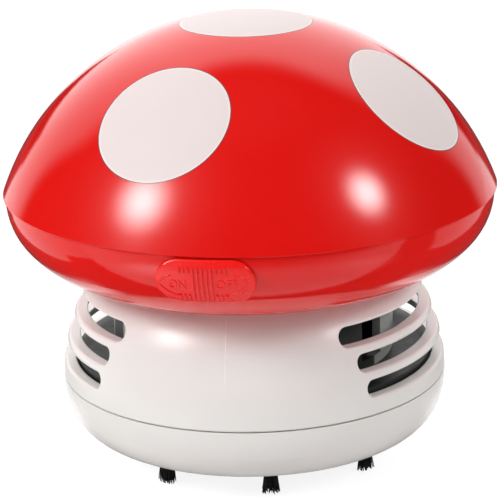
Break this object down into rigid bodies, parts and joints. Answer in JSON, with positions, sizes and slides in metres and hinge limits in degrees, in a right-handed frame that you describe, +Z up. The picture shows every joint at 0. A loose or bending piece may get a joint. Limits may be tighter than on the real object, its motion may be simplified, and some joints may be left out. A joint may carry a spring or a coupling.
{
  "type": "desktop mini vacuum cleaner",
  "caption": "Toadstool-shaped desktop vacuum: domed red cap with cells and motor, slide switch, white vented body with radial fan, twist-off dust cup with bristle tufts.",
  "frame": {"origin": "centre of the resting plane under the tips of the bristle tufts", "axes": "+Z up along the axis of the cap; -Y to the front, where the switch is; the vents face +X and -X"},
  "size_m": [0.1054, 0.1064, 0.0959],
  "materials": {
    "red_plastic": "glossy moulded ABS",
    "white_plastic": "satin gloss moulded ABS",
    "grey_plastic": "satin moulded ABS",
    "black_plastic": "moulded ABS",
    "filter_cloth": "non-woven filter cloth",
    "bristle": "nylon bristles",
    "zinc_steel": "zinc plated steel",
    "bronze": "sintered bronze",
    "bell_plastic": "moulded nylon",
    "contact_metal": "nickel plated",
    "armature_steel": "laminated steel",
    "magnet": "ferrite",
    "cell_sleeve": "printed foil sleeve, plain",
    "switch_board": "phenolic board",
    "screw_steel": "zinc plated steel"
  },
  "bodies": {
    "body": {"cap_base": "red_plastic", "body_shell": "white_plastic", "fan_housing": "grey_plastic", "fan_base": "black_plastic", "motor_can": "zinc_steel", "motor_bush": "bronze", "motor_end_bell": "bell_plastic", "motor_terminals": "contact_metal", "motor_magnets": "magnet", "battery_cell_front": "cell_sleeve", "battery_cell_rear": "cell_sleeve", "battery_tray": "black_plastic", "contact_bridge": "contact_metal", "contact_positive": "contact_metal", "contact_negative": "contact_metal", "contact_springs": "contact_metal", "switch_bracket": "zinc_steel", "switch_base": "switch_board", "switch_pins": "contact_metal", "shell_screws": "screw_steel", "fan_base_screws": "screw_steel", "tray_screws": "screw_steel", "switch_screws": "screw_steel"},
    "lid": {"cap_dome": "red_plastic"},
    "slider": {"switch_slider": "red_plastic"},
    "lever": {"switch_lever": "black_plastic"},
    "rotor": {"motor_shaft": "zinc_steel", "motor_armature": "armature_steel", "impeller": "black_plastic"},
    "filter": {"filter_frame": "black_plastic", "filter_cloth": "filter_cloth"},
    "cup": {"dust_cup": "white_plastic", "bristle_tufts": "bristle"}
  },
  "joints": [
    {"name": "cap_lift", "type": "slide", "parent": "body", "child": "lid", "axis": [0, 0, 1], "range_m": [0, 0.03]},
    {"name": "switch_slide", "type": "hinge", "parent": "body", "child": "slider", "pos_m": [0, 0, 0.0533], "axis": [0, 0, 1], "range_deg": [0, 2.7]},
    {"name": "lever_slide", "type": "slide", "parent": "body", "child": "lever", "axis": [1, 0, 0], "range_m": [0, 0.00224]},
    {"name": "impeller_spin", "type": "hinge", "parent": "body", "child": "rotor", "pos_m": [0, 0, 0.034], "axis": [0, 0, 1], "continuous": true},
    {"name": "filter_drop", "type": "slide", "parent": "body", "child": "filter", "axis": [0, 0, -1], "range_m": [0, 0.0035]},
    {"name": "cup_turn", "type": "hinge", "parent": "filter", "child": "cup", "pos_m": [0, 0, 0.016], "axis": [0, 0, -1], "range_deg": [0, 60]}
  ],
  "couplings": [
    {"joint": "lever_slide", "follows": "switch_slide", "m_per_rad": 0.0474},
    {"joint": "filter_drop", "follows": "cup_turn", "m_per_rad": 0.003342}
  ]
}
